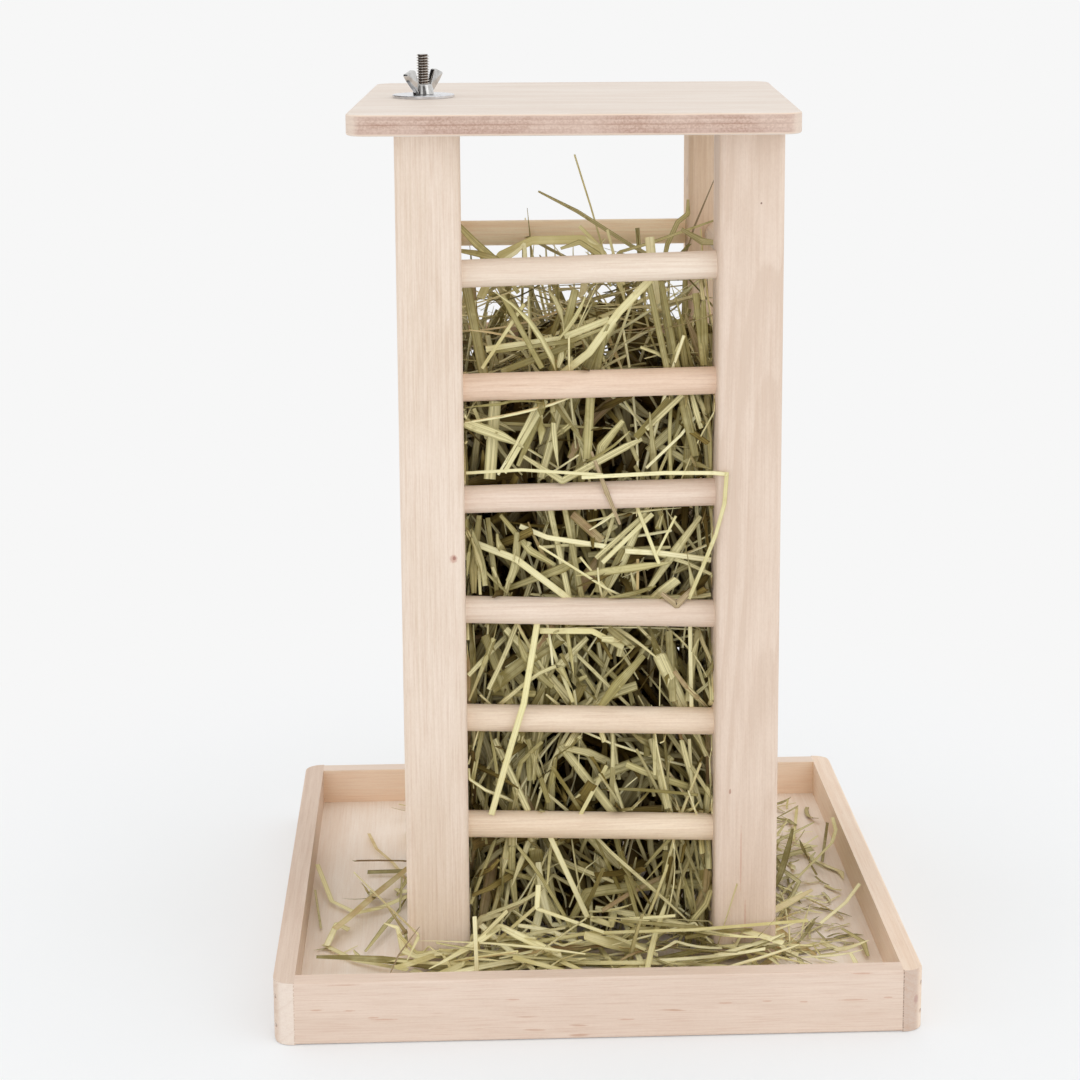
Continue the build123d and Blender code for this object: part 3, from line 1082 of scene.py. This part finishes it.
def hay_top(x, y):
    """How high the hay reaches at a place in the tower."""
    wave = 10 * math.sin(x / (19 * MM) + 1.2) + 8 * math.sin(y / (23 * MM) + 0.4)
    return HAY_LEVEL + (wave + 0.12 * x / MM) * MM


def under_top(place, half_width):
    place = clear_of_frame(place, half_width)
    place.z = min(place.z, hay_top(place.x, place.y) - 8 * MM)
    return place


def fill_core():
    """Broad blades that fill the inside of the tower, in darker hay tones that paint the shade there.
    """
    rng = random.Random(21)
    blades = []
    for _ in range(CORE_COUNT):
        x, y = rng.uniform(-60, 60) * MM, rng.uniform(-60, 60) * MM
        z = rng.uniform(14 * MM, hay_top(x, y))
        way = random_way(rng, (1.0, 1.0, 1.1))
        length = rng.uniform(50, 100) * MM
        start = Vector((x, y, z)) - way * length / 2
        width = rng.uniform(3.5, 7.0) * MM
        blades.append(grow_blade(rng, start, way, length, width, random_way(rng), under_top, points=7))
    make_blades("hay_core", blades, LEAF_SECTION, hay_painted_shade)


def fill_sides():
    """A thick layer of blades against each open side, mostly upright, in loose bunches."""
    rng = random.Random(5)
    for side, (out, count) in SIDE_LAYERS.items():
        across = Vector((-out.y, out.x, 0))
        leaves, stems = [], []
        while len(leaves) + len(stems) < count:
            spot = out * rng.uniform(46, 73) * MM + across * rng.uniform(-62, 62) * MM
            spot.z = rng.uniform(14 * MM, hay_top(spot.x, spot.y) + 10 * MM)
            lean = rng.gauss(0, 0.36) if rng.random() < 0.76 else rng.uniform(-1.5, 1.5)
            heading = (UP * math.cos(lean) + across * math.sin(lean)).normalized()
            bunch = rng.choice((0.16, 0.4))
            for _ in range(rng.randrange(1, 6)):
                way = heading + random_way(rng) * bunch - out * rng.uniform(-0.15, 0.15)
                length = rng.choice((28, 44, 60, 76, 96)) * rng.uniform(0.85, 1.2) * MM
                middle = spot + random_way(rng) * rng.uniform(2, 16) * MM
                start = middle - way.normalized() * length / 2
                stem = rng.random() < 0.26
                broad = rng.random() < 0.12
                width = rng.triangular(1.0, 4.4, 2.0)
                if stem:
                    width = rng.uniform(0.8, 1.8)
                elif broad:
                    width = rng.uniform(4.4, 6.6)
                line = grow_blade(rng, start, way, length, width * MM, out, clear_of_frame, fold=0.2)
                (stems if stem else leaves).append(line)
        make_blades(f"hay_{side}", leaves, LEAF_SECTION, hay_leaf)
        make_blades(f"hay_{side}_stems", stems, STEM_SECTION, hay_straw)


def loosen_top():
    """The loose blades that stick up out of the hay."""
    rng = random.Random(8)
    leaves, straws = [], []
    for _ in range(LOOSE_COUNT):
        x, y = rng.uniform(-57, 57) * MM, rng.uniform(-66, 60) * MM
        level = hay_top(x, y) + rng.triangular(-14, 29, 4) * MM
        way = random_way(rng, (1, 0.8, 0.32))
        length = rng.uniform(28, 85) * MM
        start = Vector((x, y, level)) - way * length / 2
        width = rng.uniform(0.8, 3.8) * MM
        line = grow_blade(rng, start, way, length, width, UP, clear_of_frame, fold=0.35)
        (straws if rng.random() < 0.4 else leaves).append(line)
    make_blades("hay_top", leaves, LEAF_SECTION, hay_leaf)
    make_blades("hay_top_straws", straws, LEAF_SECTION, hay_straw)


def spill_at_foot():
    """The heap that has slid out between the posts: long flat straws in front, less elsewhere."""
    rng = random.Random(14)
    facing = Vector((0, -0.3, 1)).normalized()
    leaves, straws, stems = [], [], []
    for turn, count, spread in FOOT_SPILLS:
        turned = Matrix.Rotation(math.radians(turn), 3, "Z")
        for _ in range(count):
            reach = rng.triangular(60, 128, 92)
            heap = max(0.0, 1 - (reach - 66) / 58)
            height = FLOOR_TOP + (1.5 + rng.random() * 26 * heap) * MM
            spot = Vector((rng.uniform(-spread, spread) * MM, -reach * MM, height))
            way = random_way(rng, (1, 0.4, 0.05 + 0.14 * heap))
            length = rng.choice((24, 40, 56, 74, 92)) * rng.uniform(0.8, 1.2) * MM
            kind = rng.random()
            width = rng.uniform(0.9, 1.8) if kind < 0.15 else rng.triangular(1.4, 5.6, 2.8)
            start = turned @ (spot - way * length / 2)
            way = turned @ way
            line = grow_blade(rng, start, way, length, width * MM, facing, in_tray, bend=0.07)
            (stems if kind < 0.15 else straws if kind < 0.68 else leaves).append(line)
    make_blades("hay_foot", leaves, LEAF_SECTION, hay_leaf)
    make_blades("hay_foot_straws", straws, LEAF_SECTION, hay_straw)
    make_blades("hay_foot_stems", stems, STEM_SECTION, hay_straw)


def scatter_bits():
    """Short bits on the tray's floor, most of them at the right."""
    rng = random.Random(3)
    bits, pale = [], []
    for low, high, count in BIT_PATCHES:
        for _ in range(count):
            x, y = rng.uniform(low[0], high[0]), rng.uniform(low[1], high[1])
            way = random_way(rng, (1, 1, 0.16))
            length = rng.triangular(4, 44, 12) * MM
            width = rng.triangular(0.5, 3.2, 0.9) * MM
            start = Vector((x, y, 12.5)) * MM - way * length / 2
            line = grow_blade(rng, start, way, length, width, UP, in_tray, points=6, bend=0.2)
            (pale if rng.random() < 0.35 else bits).append(line)
    make_blades("hay_bits", bits, LEAF_SECTION, hay_leaf)
    make_blades("hay_bits_pale", pale, LEAF_SECTION, hay_straw)


# Blades that stand out, given one by one: width, then points along the blade, in mm
TOWER_STRAWS = (
    (0.9, (-3, -5, 393), (5, -5, 367), (14, -5, 335)),
    (3.6, (30, -70, 342), (14, -73, 326), (0, -73, 307), (-14, -68, 295)),
    (1.5, (-58, -76, 251), (-32, -80, 253), (6, -80, 250)),
    (1.9, (-4, -80, 249), (35, -82, 251), (57, -88, 252), (63, -91, 252)),
    (1.9, (63, -91, 253), (62, -91, 238), (58, -91, 223), (53, -85, 207), (47, -76, 188)),
    (1.3, (-43, -72, 249), (-22, -70, 284)),
    (2.4, (-33, -72, 224), (-20, -75, 219), (10, -72, 213)),
    (3.2, (-53, -74, 216), (-35, -76, 209), (-6, -73, 185)),
    (1.8, (22, -72, 234), (33, -74, 205)),
    (2.6, (17, -72, 211), (34, -73, 210), (58, -72, 206)),
    (2.8, (-24, -74, 173), (1, -76, 173), (16, -74, 164)),
    (2.0, (48, -72, 176), (49, -72, 130)),
    (3.0, (-25, -75, 178), (-32, -83, 140), (-38, -83, 120), (-48, -79, 83)),
    (1.9, (8, -74, 105), (-5, -76, 81)),
    (2.6, (-20, -76, 71), (-2, -82, 31)),
    (2.2, (-20, -70, 284), (-40, -72, 250)),
    (1.4, (52, -72, 278), (43, -73, 267), (27, -71, 251)),
    (1.8, (-54, -72, 281), (-48, -70, 266)),
    (1.4, (-53, -74, 213), (-52, -73, 191)),
    (2.2, (30, -72, 229), (6, -74, 206)),
    (1.2, (41, -73, 228), (32, -74, 210)),
    (1.3, (23, -72, 207), (23, -71, 190)),
    (1.8, (-20, -72, 169), (-8, -70, 136)),
    (1.6, (48, -72, 117), (50, -71, 82)),
    (1.6, (-30, -71, 330), (-50, -72, 300)),
    (
        4.0, (-50, -38, 328), (-40, -41, 349), (-25, -42, 356), (-1, -40, 356),
        (7, -38, 351), (13, -34, 334),
    ),
    (2.2, (-44, -46, 344), (-33, -46, 351), (-29, -46, 355), (-28, -45, 338)),
    (1.8, (-2, -30, 361), (4, -30, 355), (10, -30, 348), (19, -32, 328)),
    (1.4, (12, -20, 358), (15, -20, 346), (20, -24, 324)),
    (4.6, (30, -50, 358), (31, -50, 348), (34, -52, 324)),
    (3.2, (-48, -66, 308), (-14, -70, 313), (10, -68, 322)),
)
TOWER_LEAVES = (
    (2.0, (-21, -12, 376), (-2, -12, 366), (24, -12, 349), (46, -14, 338)),
    (3.0, (-62, -50, 353), (-52, -56, 352), (-43, -60, 350), (-30, -62, 338)),
    (2.6, (-47, -70, 307), (-8, -74, 313), (9, -72, 319)),
    (3.0, (-41, -70, 298), (-7, -72, 311)),
    (4.6, (-57, -66, 340), (-48, -67, 290)),
    (3.0, (28, -70, 340), (38, -72, 292)),
    (2.4, (34, -72, 340), (43, -71, 292)),
    (3.4, (-31, -73, 258), (-13, -78, 247), (17, -74, 262), (25, -71, 265)),
    (4.2, (1, -70, 290), (-1, -72, 256)),
    (4.6, (16, -71, 274), (6, -72, 262), (3, -70, 250)),
    (2.8, (-19, -70, 234), (-9, -72, 185)),
    (2.6, (-12, -72, 234), (-3, -71, 185)),
    (4.2, (4, -70, 184), (16, -71, 206), (29, -70, 234)),
    (4.6, (-1, -70, 168), (-15, -74, 155), (-7, -72, 143)),
    (5.2, (26, -71, 159), (13, -75, 146), (3, -72, 131)),
    (2.6, (11, -71, 122), (11, -73, 97), (17, -72, 79)),
    (4.2, (-14, -69, 114), (12, -71, 79)),
    (5.6, (-44, -70, 284), (-47, -72, 247)),
    (3.2, (38, -70, 284), (22, -72, 266)),
    (2.6, (44, -71, 286), (27, -72, 270)),
    (5.0, (-52, -70, 229), (-55, -72, 203), (-55, -70, 191)),
    (2.2, (-48, -71, 228), (-44, -72, 191)),
    (3.6, (-42, -70, 229), (-28, -73, 212), (-16, -70, 204)),
    (4.4, (-40, -68, 192), (-13, -72, 203), (-3, -69, 207)),
    (4.2, (-8, -70, 229), (6, -71, 216)),
    (2.4, (27, -71, 229), (3, -73, 208)),
    (4.4, (53, -70, 227), (41, -72, 211), (28, -70, 191)),
    (3.6, (7, -70, 212), (4, -72, 191)),
    (3.0, (16, -71, 212), (7, -72, 193)),
    (4.0, (-50, -70, 170), (-38, -72, 136)),
    (3.6, (38, -71, 171), (40, -72, 136)),
    (2.8, (52, -70, 171), (47, -72, 136)),
    (3.2, (-46, -70, 118), (-30, -72, 82)),
    (2.4, (-30, -71, 118), (-20, -72, 86)),
    (4.0, (30, -70, 117), (38, -72, 82)),
    (2.6, (-40, -71, 334), (-22, -73, 300)),
    (3.2, (50, -70, 334), (54, -71, 300)),
    (3.8, (-63, -50, 368), (-52, -51, 356), (-43, -52, 348), (-32, -50, 332)),
    (2.6, (-12, -50, 353), (-3, -50, 356), (6, -50, 350), (12, -46, 334)),
    (3.6, (47, -30, 359), (57, -30, 353), (66, -30, 352)),
    (1.6, (2, -24, 328), (18, -20, 347), (32, -20, 351), (41, -20, 354), (66, -16, 362)),
    (2.4, (36, -12, 322), (42, -10, 349), (47, -10, 360), (52, -10, 364), (52, -10, 371)),
)
TOWER_WITHERED = (
    (2.5, (1, -74, 260), (8, -82, 241), (14, -80, 226)),
    (3.8, (34, -76, 191), (41, -79, 186), (50, -75, 194)),
    (1.0, (48, -2, 330), (56, 0, 356), (66, 0, 380)),
)
TRAY_STRAWS = (
    (2.2, (-57, -92, 15), (-30, -95, 24), (-3, -97, 29), (48, -98, 30), (104, -92, 31)),
    (2.6, (-26, -92, 52), (-27, -97, 42), (8, -97, 28), (31, -97, 17)),
    (2.1, (-57, -124, 50), (-56, -128, 13)),
    (2.2, (14, -86, 31), (40, -90, 34)),
    (3.0, (-39, -112, 24), (2, -120, 15), (20, -122, 13)),
    (2.4, (40, -104, 14), (62, -99, 18), (92, -97, 26)),
    (2.4, (-46, -92, 24), (-27, -94, 42)),
    (1.8, (115, -60, 16), (130, -44, 20), (138, -37, 27)),
    (3.0, (100, -30, 14), (112, -20, 16)),
    (1.8, (-113, 84, 13), (-108, 58, 14), (-99, 40, 13), (-91, 12, 14)),
    (2.5, (-138, 22, 20), (-129, -14, 14), (-116, -28, 13), (-104, -24, 14), (-90, -14, 16)),
    (2.6, (-131, -66, 13), (-115, -86, 13), (-89, -101, 14)),
    (3.2, (-129, -70, 14), (-125, -46, 15), (-119, -49, 13)),
    (1.6, (118, 60, 14), (127, 112, 13)),
)
TRAY_LEAVES = (
    (2.6, (14, -90, 32), (55, -92, 28)),
    (3.0, (-66, -94, 14), (-41, -94, 40)),
    (3.4, (125, -62, 14), (133, -79, 14), (133, -94, 13)),
    (1.2, (-138, -3, 16), (-133, -46, 13)),
    (2.6, (-94, -30, 15), (-101, -50, 15), (-110, -76, 13)),
    (3.2, (-112, 27, 13), (-92, 25, 14)),
    (3.6, (105, 33, 14), (126, 43, 15)),
    (1.6, (129, 29, 13), (138, 71, 19)),
)
TRAY_WITHERED = (
    (0.9, (-99, -112, 13), (-93, -106, 24), (-83, -104, 37)),
)
# The sides that the flat of a single blade faces
TOWER_FACING = Vector((0.1, -1.0, 0.3)).normalized()
TRAY_FACING = Vector((0.1, -0.35, 1.0)).normalized()


def single_blade(width, points, facing, narrow_ends):
    """A blade through given points, in mm, as grow_blade gives its own."""
    points = [Vector(point) * MM for point in points]
    last = len(points) - 1
    line = []
    for index, point in enumerate(points):
        way = points[min(last, index + 1)] - points[max(0, index - 1)]
        turn = facing_turn(way.normalized(), facing)
        if line:
            before = line[-1][2]
            turn = before + (turn - before + math.pi) % math.tau - math.pi
        tip = narrow_ends and last > 1 and index in (0, last)
        line.append((point, width * MM / (4 if tip else 2), turn))
    return line


def lay_single_blades():
    for name, material, narrow_ends, tower, tray in (
        ("hay_single_straws", hay_straw, False, TOWER_STRAWS, TRAY_STRAWS),
        ("hay_single_leaves", hay_leaf, True, TOWER_LEAVES, TRAY_LEAVES),
        ("hay_withered", hay_brown, True, TOWER_WITHERED, TRAY_WITHERED),
    ):
        lines = []
        for rows, facing in ((tower, TOWER_FACING), (tray, TRAY_FACING)):
            for width, *points in rows:
                lines.append(single_blade(width, points, facing, narrow_ends))
        make_blades(name, lines, LEAF_SECTION, material)


fill_core()
fill_sides()
loosen_top()
spill_at_foot()
scatter_bits()
lay_single_blades()

# ---------------------------------------------------------------- floor, light and camera

BACKDROP = srgb(247, 247, 247)
AIM = (0, 0, 0.2)
LAMPS = {
    "key light": ((1.3, -1.2, 1.3), AIM, 1.2, 2.4),
    "front fill light": ((0.1, -2.2, 0.75), AIM, 1.6, 1.6),
    "left fill light": ((-1.7, -0.7, 0.8), (0.1, 0, 0.1), 1.2, 1.0),
}
CAMERA_PLACE = (-0.065, -1.230, 0.511)
CAMERA_TURN = (78.71, 0.37, -2.15)


def plain_shader(tree, kind, colour):
    node = tree.nodes.new("ShaderNode" + kind)
    plug(node.inputs["Color"], colour)
    return Wire(node.outputs[0])


def mix_shaders(amount, first, second):
    node = add_node("MixShader", amount)
    for socket, value in zip(node.inputs, (amount, first, second)):
        plug(socket, value)
    return Wire(node.outputs[0])


def make_floor():
    """The pale studio floor: it keeps the feeder's shadow and turns to backdrop further out."""
    mesh = bpy.data.meshes.new("studio floor")
    work = bmesh.new()
    bmesh.ops.create_grid(work, x_segments=1, y_segments=1, size=6.0)
    bmesh.ops.translate(work, verts=work.verts, vec=(0, 0, -0.3 * MM))
    work.to_mesh(mesh)
    work.free()
    floor = bpy.data.objects.new("studio_floor", mesh)
    scene.collection.objects.link(floor)
    material = bpy.data.materials.new("pale studio floor")
    material.use_nodes = True
    tree = material.node_tree
    tree.nodes.clear()
    place = wires(tree.nodes.new("ShaderNodeTexCoord"))["Object"]
    fade = step((place * (1, 1, 0)).math("LENGTH"), 0.2, 0.55)
    path = wires(tree.nodes.new("ShaderNodeLightPath"))
    seen = path["Is Camera Ray"].math("MAXIMUM", path["Is Glossy Ray"])
    seen = seen.math("MAXIMUM", path["Is Transmission Ray"])
    matt = plain_shader(tree, "BsdfDiffuse", srgb(244, 247, 250))
    plain = plain_shader(tree, "Emission", BACKDROP)
    shader = mix_shaders((fade * 0.8 + 0.2) * seen, matt, plain)
    plug(tree.nodes.new("ShaderNodeOutputMaterial").inputs["Surface"], shader)
    mesh.materials.append(material)


def make_world():
    """Even light from all round; metal mirrors a pale room with two dark sides."""
    world = bpy.data.worlds.new("studio")
    scene.world = world
    world.use_nodes = True
    tree = world.node_tree
    tree.nodes.clear()
    x, y, z = split(wires(tree.nodes.new("ShaderNodeTexCoord"))["Generated"])
    front = step(y, -0.9, -0.6, 1.0, 0.0) * step(x, -0.2, 0.0)
    left = step(x, -0.62, -0.36, 1.0, 0.0)
    dark = front.math("MAXIMUM", left) * step(z, 0.8, 0.95, 1.0, 0.0)
    light = plain_shader(tree, "Background", (1.0, 0.995, 0.985, 1.0))
    plain = plain_shader(tree, "Background", BACKDROP)
    room = plain_shader(tree, "Background", mix(dark, BACKDROP, srgb(34, 30, 28)))
    path = wires(tree.nodes.new("ShaderNodeLightPath"))
    seen = path["Is Camera Ray"].math("MAXIMUM", path["Is Transmission Ray"])
    shader = mix_shaders(path["Is Glossy Ray"], mix_shaders(seen, light, plain), room)
    plug(tree.nodes.new("ShaderNodeOutputWorld").inputs["Surface"], shader)


def soft_light(name, place, aim, size, watts):
    lamp = bpy.data.lights.new(name, "AREA")
    lamp.shape = "SQUARE"
    lamp.size = size
    lamp.energy = watts
    obj = bpy.data.objects.new(name, lamp)
    obj.location = place
    direction = Vector(aim) - Vector(place)
    obj.rotation_euler = direction.to_track_quat("-Z", "Y").to_euler()
    scene.collection.objects.link(obj)


def make_camera():
    lens = bpy.data.cameras.new("camera")
    lens.lens = 84.0
    lens.sensor_width = 36.0
    lens.shift_y = -0.12
    lens.clip_end = 50.0
    camera = bpy.data.objects.new("camera", lens)
    camera.location = CAMERA_PLACE
    camera.rotation_euler = [math.radians(angle) for angle in CAMERA_TURN]
    scene.collection.objects.link(camera)
    scene.camera = camera


make_floor()
make_world()
for name, settings in LAMPS.items():
    soft_light(name, *settings)
make_camera()
scene.view_settings.view_transform = "Standard"
